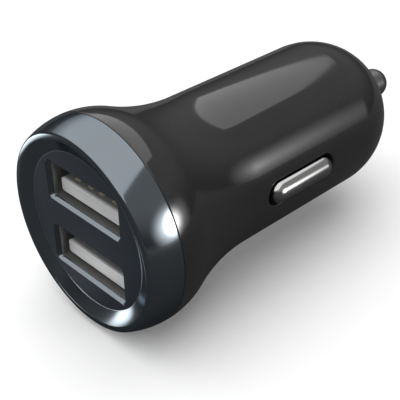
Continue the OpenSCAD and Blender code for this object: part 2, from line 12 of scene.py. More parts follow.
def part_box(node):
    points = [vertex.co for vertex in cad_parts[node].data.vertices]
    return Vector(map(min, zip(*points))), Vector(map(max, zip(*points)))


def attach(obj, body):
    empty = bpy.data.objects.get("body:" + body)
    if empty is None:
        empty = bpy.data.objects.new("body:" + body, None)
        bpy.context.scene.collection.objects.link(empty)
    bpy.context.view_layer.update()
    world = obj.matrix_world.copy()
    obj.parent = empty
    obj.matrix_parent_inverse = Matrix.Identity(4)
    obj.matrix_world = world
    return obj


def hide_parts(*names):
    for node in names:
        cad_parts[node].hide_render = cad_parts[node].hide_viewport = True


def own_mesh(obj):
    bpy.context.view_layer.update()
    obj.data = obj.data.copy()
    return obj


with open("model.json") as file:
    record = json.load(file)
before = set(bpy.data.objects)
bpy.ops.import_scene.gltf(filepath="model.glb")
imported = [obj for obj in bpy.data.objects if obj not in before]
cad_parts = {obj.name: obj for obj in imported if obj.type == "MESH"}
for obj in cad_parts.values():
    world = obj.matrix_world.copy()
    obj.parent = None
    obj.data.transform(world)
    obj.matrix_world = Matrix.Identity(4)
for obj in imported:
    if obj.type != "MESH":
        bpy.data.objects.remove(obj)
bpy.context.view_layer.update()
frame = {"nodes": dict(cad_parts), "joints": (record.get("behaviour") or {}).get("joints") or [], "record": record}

bl_info = {
    "name": "Charger Plug",
    "version": (1, 0, 0),
    "blender": (4, 5, 0),
    "location": "3D View > Sidebar > Plug",
    "description": "Models the visible pieces of a charger plug and gives every piece its finish",
    "category": "Object",
}

MM = 0.001
MOUNTS = {mount["name"]: mount for mount in frame["record"]["mounts"]}
BARREL_R = MOUNTS["plug_barrel"]["dims"]["r_mm"] * MM
BARREL_LEN = MOUNTS["plug_barrel"]["dims"]["length_mm"] * MM
FACE_Y = MOUNTS["upper_usb_socket"]["pos_m"][1]
PORT_Z = [MOUNTS[name]["pos_m"][2] for name in ("upper_usb_socket", "lower_usb_socket")]
RIM_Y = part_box("front_cap")[0].y
SPIGOT_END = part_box("front_cap")[1].y
SEAM_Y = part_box("housing")[0].y
HEAD_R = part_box("housing")[1].x
FLANGE_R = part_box("tip_contact")[1].x
CONTACT_LOW, CONTACT_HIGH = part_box("right_side_contact")
CONTACT_Y = (CONTACT_LOW.y + CONTACT_HIGH.y) / 2
WHOLE_TURN = 2 * math.pi
SHARP_ANGLE = math.radians(38)
MERGE_DISTANCE = 1e-7
# Around a slot: steps of its round end, rows of its patch, and faces from its middle to its side.
SLOT_END_STEPS = 24
SLOT_PATCH_ROWS = 42
SLOT_PATCH_HALF = 8
# An area lamp's watts for each unit of radiance and square metre.
WATTS_PER_RADIANCE = 4


def length(name, description, default):
    """A size in metres that a user may change."""
    return FloatProperty(
        name=name, description=description, default=default, unit="LENGTH", precision=5, min=0)


def colour(name, description, default):
    """A colour that a user may change."""
    return FloatVectorProperty(
        name=name, description=description, default=default, subtype="COLOR", size=3, min=0, max=1)


def lamp_light(name, description, default):
    """The radiance of a lamp, which a user may change."""
    return FloatProperty(name=name, description="Radiance of " + description, default=default, min=0)


class PlugSizes(PropertyGroup):
    """Sizes of the modelled pieces."""

    crown_y: length("Crown distance", "From the rim back to the largest diameter", 0.0045)
    crown_radius: length("Crown radius", "Bulge of the head, seen from the side", 0.0106)
    rim_round: length("Rim rounding", "Rounding of the rim's outer edge", 0.0004)
    mouth_r: length("Mouth radius", "Radius of the mouth's edge", 0.01205)
    face_r: length("Face radius", "Radius of the recessed face", 0.0103)
    edge_round: length("Edge rounding", "Rounding of the mouth chamfer's two edges", 0.00014)
    seam_round: length("Seam rounding", "Rounding of both edges of the seam", 0.00011)
    plate_t: length("Plate thickness", "Thickness of the cap's face plate", 0.0016)
    spigot_inset: length("Spigot inset", "Wall of the housing around the cap's spigot", 0.0017)
    spigot_wall: length("Spigot wall", "Wall of the cap's spigot", 0.0011)
    snap_h: length("Snap height", "Height of the cap's snap ring", 0.00025)
    wall: length("Wall", "Wall of the housing", 0.0015)
    nose_wall: length("Nose wall", "Wall at the end, around the tip's bore", 0.0032)
    guide_wall: length("Guide wall", "Wall of the tube that guides the tip", 0.0012)
    window_w: length("Window width", "Width of a socket's window", 0.013)
    window_h: length("Window height", "Height of a socket's window", 0.005)
    window_corner: length("Window corner", "Corner radius of a window", 0.0004)
    window_edge: length("Window edge", "Width of the chamfer at a window's front", 0.00032)
    window_edge_depth: length("Window edge depth", "Depth of the chamfer at a window's front", 0.0005)
    window_lip: length("Window lip", "Depth of a window's own edge before the shell", 0.0006)
    shell_room: length("Shell room", "Height for the shell's walls behind the lip", 0.00082)
    slot_len: length("Slot length", "Length of the slot of a side contact", 0.0123)
    slot_w: length("Slot width", "Width of the slot of a side contact", 0.0036)
    slot_edge: length("Slot edge", "Rounding of the slot's outer edge", 0.00016)
    bulge_len: length("Bulge length", "Length of the bulge of a side contact", 0.0111)
    bulge_w: length("Bulge width", "Width of the bulge of a side contact", 0.0031)
    sheet_t: length("Sheet thickness", "Sheet of a side contact", 0.0004)
    tip_r: length("Tip radius", "Radius of the sprung tip", 0.0022)
    bore_gap: length("Bore gap", "Radial room of the tip in its bore", 0.00008)
    fit_gap: length("Fit gap", "Room between pieces that plug together", 0.00005)
    stud_r: length("Stud radius", "Radius of the coil spring's studs", 0.0014)
    coil_wire: length("Coil wire", "Wire diameter of the coil spring", 0.00045)
    coil_turns: IntProperty(name="Coil turns", description="Turns of the coil spring", default=5, min=2)
    bow_t: length("Bow thickness", "Thickness of a bow spring", 0.00025)
    steps: IntProperty(name="Steps", description="Faces round the plug", default=192, min=48)


class PlugColours(PropertyGroup):
    """Colours of the finishes."""

    housing: colour("Housing", "Black moulding of the housing", (0.018, 0.018, 0.0182))
    cap: colour("Cap", "Blue-grey lacquer of the front cap", (0.145, 0.163, 0.18))
    face: colour("Face", "Satin face of the front cap", (0.007, 0.011, 0.018))
    tongue: colour("Tongue", "Light grey moulding of the sockets' tongues", (0.6, 0.605, 0.61))
    shell: colour("Shell", "Plating of the sockets' shells", (0.34, 0.335, 0.325))
    gilt: colour("Gilt", "Gilt of the contact strips", (0.85, 0.74, 0.55))
    nickel: colour("Nickel", "Polished nickel of the side contacts", (0.38, 0.38, 0.375))
    tip: colour("Tip", "Dark nickel of the tip", (0.2, 0.2, 0.205))
    mask: colour("Solder mask", "Green solder mask of the board", (0.012, 0.11, 0.045))
    resin: colour("Resin", "Black resin of the chips", (0.018, 0.018, 0.019))
    tin: colour("Tin", "Tinned leads and caps", (0.6, 0.61, 0.62))
    copper: colour("Copper", "Enamelled copper wire", (0.62, 0.24, 0.09))
    ferrite: colour("Ferrite", "Sintered core of the inductor", (0.05, 0.05, 0.054))
    aluminium: colour("Aluminium", "Drawn cans of the capacitors", (0.64, 0.65, 0.66))
    ceramic: colour("Ceramic", "Body of the fuse", (0.72, 0.69, 0.62))
    brown: colour("Brown ceramic", "Body of the small capacitors", (0.32, 0.2, 0.11))
    brass: colour("Brass", "Terminal behind the coil spring", (0.68, 0.5, 0.22))
    spring: colour("Spring steel", "Wire and strip of the springs", (0.42, 0.42, 0.43))
    floor: colour("Floor", "Paper that the plug lies on", (0.88, 0.88, 0.88))
    floor_bounce: colour("Floor bounce", "What the paper throws back onto the plug", (0.2, 0.2, 0.2))
    floor_in_gloss: colour("Floor in gloss", "What the gloss shows of the near paper", (0.08, 0.08, 0.08))
    far_floor_in_gloss: colour("Far floor in gloss", "The same for the far paper", (0.15, 0.15, 0.15))


class PlugStage(PropertyGroup):
    """Camera, lamps and floor."""

    lens: FloatProperty(name="Lens", description="Focal length of the camera", default=80.815, unit="CAMERA")
    camera_at: FloatVectorProperty(
        name="Camera place", description="Where the camera stands", default=(0.072269, -0.067288, 0.061525),
        subtype="XYZ", unit="LENGTH")
    camera_aim: FloatVectorProperty(
        name="Camera direction", description="Where the camera looks", default=(-0.61064, 0.56435, -0.55553),
        subtype="DIRECTION")
    camera_roll: FloatProperty(
        name="Camera roll", description="Turn of the camera about its own axis", default=math.radians(1.28),
        subtype="ANGLE")
    box_corner: FloatVectorProperty(
        name="Softbox corner", description="The softbox's far right corner", default=(0.199, 1.02, 1.067),
        subtype="XYZ", unit="LENGTH")
    box_width: length("Softbox width", "Size of the softbox from back to front", 2.2)
    box_depth: length("Softbox depth", "Size of the softbox from high to low", 1.53)
    box_light: lamp_light("Softbox light", "the softbox", 1.13)
    spot_light: lamp_light("Round lamp light", "the round lamp", 9)
    bright_light: lamp_light("Bright lamp light", "the small bright lamp in the round one", 45)
    strip_light: lamp_light("Strip light", "the wide soft lamp", 1.9)
    edge_light: lamp_light("Edge light", "the low lamp on the left", 10)
    card_light: lamp_light("Card light", "the card before the mouth", 8)
    sky_light: lamp_light("Sky light", "the surroundings", 0.4)


def sizes():
    return bpy.context.scene.plug_sizes


def colours():
    return bpy.context.scene.plug_colours


def stage():
    return bpy.context.scene.plug_stage


class Signal:
    """A shader socket. Sums, products and comparisons of signals add their Math nodes."""

    def __init__(self, recipe, socket):
        self.recipe = recipe
        self.socket = socket

    def __add__(self, other):
        return self.recipe.math("ADD", self, other)

    __radd__ = __add__

    def __sub__(self, other):
        return self.recipe.math("SUBTRACT", self, other)

    def __rsub__(self, other):
        return self.recipe.math("SUBTRACT", other, self)

    def __mul__(self, other):
        return self.recipe.math("MULTIPLY", self, other)

    __rmul__ = __mul__

    def __pow__(self, other):
        return self.recipe.math("POWER", self, other)

    def __rpow__(self, other):
        return self.recipe.math("POWER", other, self)

    def __lt__(self, other):
        return self.recipe.math("LESS_THAN", self, other)

    def __gt__(self, other):
        return self.recipe.math("GREATER_THAN", self, other)

    def ramp(self, low, high):
        """0 below low and 1 above high, with a smooth step between."""
        inputs = {"Value": self, "From Min": low, "From Max": high}
        return self.recipe.add("MapRange", {"interpolation_type": "SMOOTHSTEP"}, inputs)


def pick(sockets, key):
    """The socket of that name or number among those that the node shows."""
    shown = [socket for socket in sockets if socket.enabled]
    return shown[key] if isinstance(key, int) else next(s for s in shown if s.name == key)


class Recipe:
    """A material, lamp or world, built up from nodes."""

    def __init__(self, owner):
        owner.use_nodes = True
        self.tree = owner.node_tree
        self.tree.nodes.clear()

    def add(self, kind, settings=None, inputs=None, out=0):
        """Adds a shader node, gives it its settings and then its inputs, and returns one of its outputs."""
        node = self.tree.nodes.new("ShaderNode" + kind)
        for name, value in (settings or {}).items():
            setattr(node, name, value)
        for name, value in (inputs or {}).items():
            socket = pick(node.inputs, name)
            if isinstance(value, Signal):
                self.tree.links.new(value.socket, socket)
            elif socket.type == "RGBA":
                socket.default_value = (*value, 1)
            else:
                socket.default_value = value
        return Signal(self, pick(node.outputs, out)) if node.outputs else None

    def math(self, operation, *values):
        """The result of a Math node."""
        return self.add("Math", {"operation": operation}, dict(enumerate(values)))

    def place(self, stretch=(1, 1, 1)):
        """The place on the piece, in metres. A stretch under 1 draws a pattern out along that axis."""
        return self.add("Mapping", {}, {"Vector": self.add("TexCoord", out="Object"), "Scale": stretch})

    def axis(self, name):
        """One coordinate of the place on the piece, in metres."""
        return self.add("SeparateXYZ", {}, {"Vector": self.place()}, out=name)

    def noise(self, grain, detail, roughness, stretch=(1, 1, 1)):
        """Even noise from 0 to 1 whose grains are about that many metres wide."""
        return self.add("TexNoise", {}, {
            "Vector": self.place(stretch), "Scale": 1 / grain, "Detail": detail, "Roughness": roughness})

    def cells(self, size):
        """The distance field of scattered cells that are about that many metres wide."""
        return self.add("TexVoronoi", {}, {"Vector": self.place(), "Scale": 1 / size})

    def blend(self, share, first, second):
        """A colour between two."""
        return self.add("Mix", {"data_type": "RGBA"}, {"Factor": share, "A": first, "B": second})

    def bump(self, height, depth):
        """A normal from a height between 0 and 1 that stands for that many metres."""
        return self.add("Bump", {}, {"Height": height, "Distance": depth, "Strength": 1.0})

    def surface(self, **inputs):
        """Ends the material in one Principled shader. Underscores in the names stand for spaces."""
        sockets = {name.replace("_", " "): value for name, value in inputs.items()}
        shader = self.add("BsdfPrincipled", {}, sockets)
        self.add("OutputMaterial", {}, {"Surface": shader})

    def coat(self, shade, factors, share, height, depth, **inputs):
        """Ends the material in one colour that varies between two factors of itself, with a bump."""
        first, second = (shaded(shade, factor) for factor in factors)
        self.surface(Base_Color=self.blend(share, first, second), Normal=self.bump(height, depth), **inputs)


def shaded(shade, factor):
    """A colour made lighter or darker."""
    return tuple(min(1.0, channel * factor) for channel in shade)


def off_axis(first, second):
    """The distance of a place from an axis, from its two coordinates across it."""
    return (first ** 2 + second ** 2) ** 0.5


def housing_finish(recipe):
    """Black moulded plastic, nearly smooth, with a trace of orange peel and faint handling marks."""
    mottle = recipe.noise(0.004, 4, 0.6)
    peel = recipe.noise(0.0009, 2, 0.5)
    smudge = recipe.noise(0.0025, 5, 0.65).ramp(0.55, 0.75)
    recipe.coat(
        colours().housing, (0.85, 1.15), mottle, peel, 0.0000008,
        Roughness=0.07 + 0.02 * mottle + 0.02 * smudge, IOR=1.5)


def cap_finish(recipe):
    """Blue-grey metallised lacquer with fine flakes, glossy at the rim and satin on the recessed face."""
    shade = colours().cap
    flakes = recipe.cells(0.00006).ramp(0.1, 0.6)
    cloud = recipe.noise(0.003, 3, 0.5)
    edge = sizes().face_r
    on_face = 1 - off_axis(recipe.axis("X"), recipe.axis("Z")).ramp(edge - 0.15 * MM, edge)
    satin = on_face * (recipe.axis("Y") < FACE_Y + 0.02 * MM)
    lacquer = recipe.blend(flakes * 0.6 + cloud * 0.4, shaded(shade, 0.93), shaded(shade, 1.07))
    recipe.surface(
        Base_Color=recipe.blend(satin, lacquer, colours().face),
        Metallic=0.93 - 0.93 * satin,
        Specular_Tint=(0.55, 0.6, 0.65),
        Roughness=0.1 + 0.03 * cloud + 0.65 * satin,
        Normal=recipe.bump(recipe.noise(0.0012, 2, 0.5), 0.0000006))


def tongue_finish(recipe):
    """Light grey moulding with fine flow lines across its front, and painted shade that darkens it further into
    the socket.
    """
    shade = colours().tongue
    flow = recipe.noise(0.00025, 3, 0.5, (0.08, 1, 1))
    grain = recipe.noise(0.00008, 2, 0.5)
    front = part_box("upper_port_insulator")[0].y
    # Painted shade: the tongue darkens from its front edge back into the socket, where the shell shades it.
    inner = recipe.axis("Y").ramp(front + 0.1 * MM, front + 0.5 * MM)
    moulding = recipe.blend(flow.ramp(0.3, 0.7), shaded(shade, 0.9), shaded(shade, 1.06))
    recipe.surface(
        Base_Color=recipe.blend(inner, moulding, shaded(shade, 0.3)),
        Roughness=0.42 + 0.1 * flow,
        Normal=recipe.bump(flow * 0.7 + grain * 0.3, 0.000003))


def drawn_metal(recipe, shade, darkest, roughness, stretch, depth, metallic):
    """Plated or drawn sheet: fine lines along one axis, and a tint that wanders a little."""
    lines = recipe.noise(0.00012, 4, 0.6, stretch)
    cloud = recipe.noise(0.0016, 3, 0.5)
    recipe.coat(
        shade, (darkest, 1.06), cloud * 0.6 + lines * 0.4, lines, depth,
        Metallic=metallic, Roughness=roughness + 0.12 * lines)


def shell_finish(recipe):
    """Dull nickel-plated steel sheet, brushed along the socket."""
    drawn_metal(recipe, colours().shell, 0.85, 0.3, (1, 0.06, 1), 0.0000015, 0.75)


def gilt_finish(recipe):
    """Thin gilt over nickel on the contact strips, worn along the middle."""
    lines = recipe.noise(0.0001, 3, 0.5, (1, 0.1, 1))
    recipe.surface(
        Base_Color=recipe.blend(lines.ramp(0.55, 0.8), colours().gilt, colours().nickel),
        Metallic=0.6,
        Roughness=0.35 + 0.12 * lines,
        Normal=recipe.bump(lines, 0.000001))


def nickel_finish(recipe):
    """Polished nickel with hair-fine wiping marks along the plug."""
    lines = recipe.noise(0.00009, 4, 0.6, (1, 0.05, 1))
    wiped = recipe.noise(0.0011, 4, 0.6, (1, 0.3, 1)).ramp(0.5, 0.75)
    recipe.coat(
        colours().nickel, (1, 0.9), wiped, lines, 0.0000006,
        Metallic=1.0, Roughness=0.13 + 0.06 * lines + 0.05 * wiped)


def tip_finish(recipe):
    """Dark nickel on a turned pin: fine rings from the lathe."""
    rings = recipe.noise(0.00011, 2, 0.5, (0.02, 1, 0.02))
    recipe.coat(
        colours().tip, (0.85, 1.15), rings, rings, 0.0000012, Metallic=1.0, Roughness=0.24 + 0.08 * rings)


def board_finish(recipe):
    """Glass laminate under green solder mask, with copper tracks that show through it."""
    lanes = recipe.math("SINE", recipe.axis("Y") * 700 + recipe.noise(0.006, 1, 0.3) * 9)
    rungs = recipe.math("SINE", recipe.axis("X") * 1500)
    tracks = (lanes.ramp(0.35, 0.45) + rungs.ramp(0.75, 0.82)).ramp(0.4, 0.6)
    warp = recipe.noise(0.00035, 2, 0.4, (1, 0.2, 1))
    weft = recipe.noise(0.00035, 2, 0.4, (0.2, 1, 1))
    weave = warp * 0.5 + weft * 0.5
    recipe.coat(
        colours().mask, (0.75, 1.9), tracks * 0.7 + weave * 0.3, tracks * 0.8 + weave * 0.2, 0.00002,
        Roughness=0.3 + 0.15 * weave, Coat_Weight=0.5, Coat_Roughness=0.15)


def resin_finish(recipe):
    """Matt black moulding resin with fine spark-eroded grain."""
    grain = recipe.noise(0.00006, 3, 0.7)
    recipe.coat(colours().resin, (0.7, 1.6), grain, grain, 0.000006, Roughness=0.55 + 0.15 * grain)


def tin_finish(recipe):
    """Dull tin plating with the soft crystals of a reflowed surface."""
    crystals = recipe.cells(0.0003)
    recipe.coat(
        colours().tin, (0.86, 1.08), crystals.ramp(0.1, 0.7), crystals, 0.000004,
        Metallic=1.0, Roughness=0.3 + 0.15 * crystals)


def copper_finish(recipe):
    """Copper wire under amber enamel, darker between the turns."""
    cloud = recipe.noise(0.0009, 3, 0.5)
    recipe.coat(
        colours().copper, (0.8, 1.15), cloud, recipe.noise(0.0002, 2, 0.5), 0.000004,
        Metallic=0.9, Roughness=0.28 + 0.08 * cloud, Coat_Weight=0.6, Coat_Roughness=0.12)


def ferrite_finish(recipe):
    """Sintered ferrite: dark, matt and finely pitted."""
    pits = recipe.cells(0.00018)
    grain = recipe.noise(0.00007, 3, 0.6)
    recipe.coat(
        colours().ferrite, (0.7, 1.4), grain, pits.ramp(0.05, 0.3) * 0.6 + grain * 0.4, 0.000012,
        Metallic=0.2, Roughness=0.5 + 0.2 * grain)


def aluminium_finish(recipe):
    """Drawn aluminium can with fine vertical draw lines."""
    drawn_metal(recipe, colours().aluminium, 0.9, 0.27, (1, 1, 0.05), 0.000002, 1.0)


def ceramic_finish(recipe):
    """Unglazed fuse ceramic with small dark specks."""
    specks = 1 - recipe.cells(0.00045).ramp(0.05, 0.16)
    grain = recipe.noise(0.00012, 3, 0.6)
    recipe.coat(
        colours().ceramic, (1, 0.55), specks * 0.5 + grain * 0.2, grain, 0.000006,
        Roughness=0.6 + 0.15 * grain)


def brown_ceramic_finish(recipe):
    """Fired brown ceramic, smoother and with a faint banding of its layers."""
    layers = recipe.noise(0.0001, 2, 0.5, (0.05, 0.05, 1))
    recipe.coat(colours().brown, (0.8, 1.2), layers, layers, 0.000003, Roughness=0.35 + 0.12 * layers)


def brass_finish(recipe):
    """Plain stamped brass, slightly tarnished in clouds."""
    tarnish = recipe.noise(0.0012, 4, 0.6).ramp(0.45, 0.75)
    lines = recipe.noise(0.0001, 3, 0.5, (1, 0.1, 1))
    recipe.coat(
        colours().brass, (1, 0.6), tarnish, lines, 0.0000015,
        Metallic=1.0, Roughness=0.25 + 0.12 * lines + 0.15 * tarnish)


def spring_finish(recipe):
    """Drawn spring steel with its blued oil film."""
    red, green, blue = colours().spring
    film = recipe.noise(0.0014, 3, 0.5)
    lines = recipe.noise(0.00008, 3, 0.5, (0.3, 0.3, 1))
    recipe.surface(
        Base_Color=recipe.blend(film, (red, green, blue), (red * 0.75, green * 0.78, blue * 0.95)),
        Metallic=1.0,
        Roughness=0.26 + 0.12 * lines,
        Normal=recipe.bump(lines, 0.0000015))


FINISHES = {
    "housing_plastic": housing_finish,
    "cap_plastic": cap_finish,
    "board_laminate": board_finish,
    "shell_steel": shell_finish,
    "tongue_plastic": tongue_finish,
    "gilt_strip": gilt_finish,
    "ferrite": ferrite_finish,
    "copper_wire": copper_finish,
    "can_aluminium": aluminium_finish,
    "chip_resin": resin_finish,
    "tinned_metal": tin_finish,
    "fuse_ceramic": ceramic_finish,
    "capacitor_ceramic": brown_ceramic_finish,
    "tip_nickel": tip_finish,
    "spring_steel": spring_finish,
    "terminal_brass": brass_finish,
    "contact_nickel": nickel_finish,
}


def finish(slot):
    """The material of a slot, made when it is first asked for."""
    name = "finished_" + slot
    if name not in bpy.data.materials:
        material = bpy.data.materials.new(name)
        FINISHES[slot](Recipe(material))
    return bpy.data.materials[name]


def slot_of(node):
    """The record's material slot of a CAD node."""
    return next(part["material_slot"] for part in frame["record"]["subparts"] if part["node"] == node)


def travel_of(joint_name):
    """How far a joint of the record slides in."""
    return next(joint for joint in frame["joints"] if joint["name"] == joint_name)["range_m"][1]


def object_of(bm, name, material):
    """Makes an object of the mesh in one material."""
    mesh = bpy.data.meshes.new(name)
    bm.to_mesh(mesh)
    bm.free()
    mesh.materials.append(material)
    made = bpy.data.objects.new(name, mesh)
    bpy.context.scene.collection.objects.link(made)
    return made


def finish_piece(bm, name, body, *nodes):
    """Makes a smooth object of the mesh, which rides on the body and stands for the nodes."""
    bmesh.ops.recalc_face_normals(bm, faces=bm.faces)
    piece = object_of(bm, name, finish(slot_of(nodes[0])))
    piece.data.shade_smooth()
    piece.data.set_sharp_from_angle(angle=SHARP_ANGLE)
    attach(piece, body)
    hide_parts(*nodes)
    return piece


def weigh_normals(piece):
    """Keeps large flat faces flat where they run into small rounded ones."""
    modifier = piece.modifiers.new("Even shading", "WEIGHTED_NORMAL")
    modifier.keep_sharp = True
    modifier.weight = 100


def arc(centre, radius, start, end, steps=12):
    """Points on an arc, as radius and y. Angles are in radians, from outwards towards +Y."""
    angles = [start + (end - start) * i / steps for i in range(steps + 1)]
    return [(centre[0] + radius * math.cos(a), centre[1] + radius * math.sin(a)) for a in angles]


def rounded(before, corner, after, radius, steps=5):
    """The points of a rounded corner between two straight stretches."""
    corner = Vector(corner)
    back = (Vector(before) - corner).normalized()
    on = (Vector(after) - corner).normalized()
    half = math.acos(max(-1.0, min(1.0, back.dot(on)))) / 2
    centre = corner + (back + on).normalized() * radius / math.sin(half)
    first = corner + back * radius / math.tan(half) - centre
    turn = first.angle_signed(corner + on * radius / math.tan(half) - centre)
    points = []
    for i in range(steps + 1):
        spoke = first.copy()
        spoke.rotate(Matrix.Rotation(-turn * i / steps, 2))
        points.append(tuple(centre + spoke))
    return points


def turn_profile(points, closed):
    """Turns a profile of (radius, y) points about the plug's axis."""
    bm = bmesh.new()
    verts = [bm.verts.new((0, y, -r)) for r, y in points]
    pairs = list(zip(verts, verts[1:]))
    if closed:
        pairs.append((verts[-1], verts[0]))
    edges = [bm.edges.new(pair) for pair in pairs]
    bmesh.ops.spin(
        bm, geom=verts + edges, cent=(0, 0, 0), axis=(0, 1, 0), angle=WHOLE_TURN, steps=sizes().steps,
        use_merge=True)
    bmesh.ops.remove_doubles(bm, verts=bm.verts, dist=MERGE_DISTANCE)
    return bm


def extrude(bm, edges):
    """Draws a new strip of faces from the edges, and returns its far edges."""
    made = bmesh.ops.extrude_edge_only(bm, edges=edges)["geom"]
    return [item for item in made if isinstance(item, bmesh.types.BMEdge)]


def ends_of(edges):
    return list(dict.fromkeys(vert for edge in edges for vert in edge.verts))


def edges_of(verts):
    return list(dict.fromkeys(edge for vert in verts for edge in vert.link_edges))


def rounded_ring(bm, width, height, corner, steps=32):
    """A ring of edges round a rectangle with round corners, in the plane of X and Z."""
    verts = bmesh.ops.create_circle(bm, segments=steps, radius=corner)["verts"]
    turn = Matrix.Rotation(math.pi / steps, 3, "Z")
    bmesh.ops.rotate(bm, verts=verts, cent=(0, 0, 0), matrix=turn)
    for vert in verts:
        x = vert.co.x + math.copysign(width / 2 - corner, vert.co.x)
        z = vert.co.y + math.copysign(height / 2 - corner, vert.co.y)
        vert.co = (x, 0, z)
    return edges_of(verts)


def pull_in(verts, centre, core, inward):
    """Moves the ring's points towards the box of half sizes core that it runs round."""
    for vert in verts:
        here = vert.co - centre
        inner = Vector([max(-half, min(half, value)) for value, half in zip(here, core)])
        away = here - inner
        vert.co = centre + inner + away * (1 - inward / away.length)


def quarter_steps(radius, steps=4):
    """Steps of a rounded edge: how far it has come in and down."""
    angles = [math.pi / 2 * i / steps for i in range(1, steps + 1)]
    return [(radius * math.sin(a), radius * (1 - math.cos(a))) for a in angles]


def chamfer_steps(width, depth):
    """Steps of a straight chamfer whose two edges are eased: how far it has come in and down."""
    eased = [(0.08, 0.03), (0.18, 0.14), (0.88, 0.84), (0.98, 0.93), (1, 1)]
    return [(width * across, depth * along) for across, along in eased]


class Outline:
    """The two arcs of the head's outline: its crown, and the neck that runs into the barrel."""

    def __init__(self):
        size = sizes()
        self.crown = (HEAD_R - size.crown_radius, RIM_Y + size.crown_y)
        self.flare = -self.crown[1]
        drop = HEAD_R - BARREL_R
        self.arc_sum = (self.flare ** 2 + drop ** 2) / (2 * drop)
        self.neck_radius = self.arc_sum - size.crown_radius
        self.neck = (BARREL_R + self.neck_radius, 0)
        self.meet = math.atan2(self.flare, self.arc_sum - drop)

    def crown_angle(self, y, inset=0):
        """The angle at which the crown, or its wall's inside, passes y."""
        return math.asin((y - self.crown[1]) / (sizes().crown_radius - inset))

    def crown_at(self, y):
        """The crown's radius about the plug's axis at y."""
        return self.crown[0] + sizes().crown_radius * math.cos(self.crown_angle(y))

    def head_arc(self, start, end, inset=0, steps=24):
        return arc(self.crown, sizes().crown_radius - inset, start, end, steps)

    def neck_arc(self, inset=0, steps=32):
        return arc(self.neck, self.neck_radius + inset, math.pi + self.meet, math.pi, steps)


def slot_rows():
    """Places along the barrel where its wall is divided around the slots."""
    half = sizes().slot_len / 2 + 1 * MM
    return [CONTACT_Y - half + 2 * half * i / SLOT_PATCH_ROWS for i in range(SLOT_PATCH_ROWS + 1)]


def ring_on_wall(verts, side, radius, depth):
    """Lays the points on the barrel's wall, or a little under it, at their Y and Z."""
    for vert in verts:
        vert.co.x = side * (math.sqrt(radius ** 2 - vert.co.z ** 2) - depth)


def open_slot(bm, side, radius, edge_round):
    """Opens a wall of the barrel at one side with a round-ended slot, and returns its inmost edges."""
    size = sizes()
    rows = slot_rows()
    spread = SLOT_PATCH_HALF * WHOLE_TURN / size.steps
    patch = []
    for face in bm.faces:
        spot = face.calc_center_median()
        near = abs(math.hypot(spot.x, spot.z) - radius) < 0.1 * MM and spot.x * side > 0
        if near and rows[0] < spot.y < rows[-1] and abs(math.atan2(spot.z, side * spot.x)) < spread:
            patch.append(face)
    edges = dict.fromkeys(edge for face in patch for edge in face.edges)
    border = [edge for edge in edges if sum(face in patch for face in edge.link_faces) == 1]
    bmesh.ops.delete(bm, geom=patch, context="FACES")
    run = size.slot_len - size.slot_w
    half_w = size.slot_w / 2
    margin = 0.5 * MM
    reach = half_w + edge_round + margin
    cuts = (len(border) - 2 * SLOT_END_STEPS) // 2
    far_end = arc((0, run / 2), reach, 0, math.pi, SLOT_END_STEPS)
    near_end = arc((0, -run / 2), reach, math.pi, WHOLE_TURN, SLOT_END_STEPS)
    points = []
    for end in (far_end, near_end):
        z, y = end[-1]
        points += end + [(z, y - 2 * y * i / cuts) for i in range(1, cuts)]
    verts = [bm.verts.new((0, CONTACT_Y + y, z)) for z, y in points]
    for pair in zip(verts, verts[1:] + verts[:1]):
        bm.edges.new(pair)
    ring_on_wall(verts, side, radius, 0)
    edges = edges_of(verts)
    bmesh.ops.bridge_loops(bm, edges=border + edges)
    done = 0
    steps = [(margin / 2, 0), (margin, 0)] + [(margin + i, d) for i, d in quarter_steps(edge_round)]
    for inward, depth in steps:
        edges = extrude(bm, edges)
        verts = ends_of(edges)
        for vert in verts:
            vert.co.x = 0
        pull_in(verts, Vector((0, CONTACT_Y, 0)), (0, run / 2, 0), inward - done)
        ring_on_wall(verts, side, radius, depth)
        done = inward
    return edges


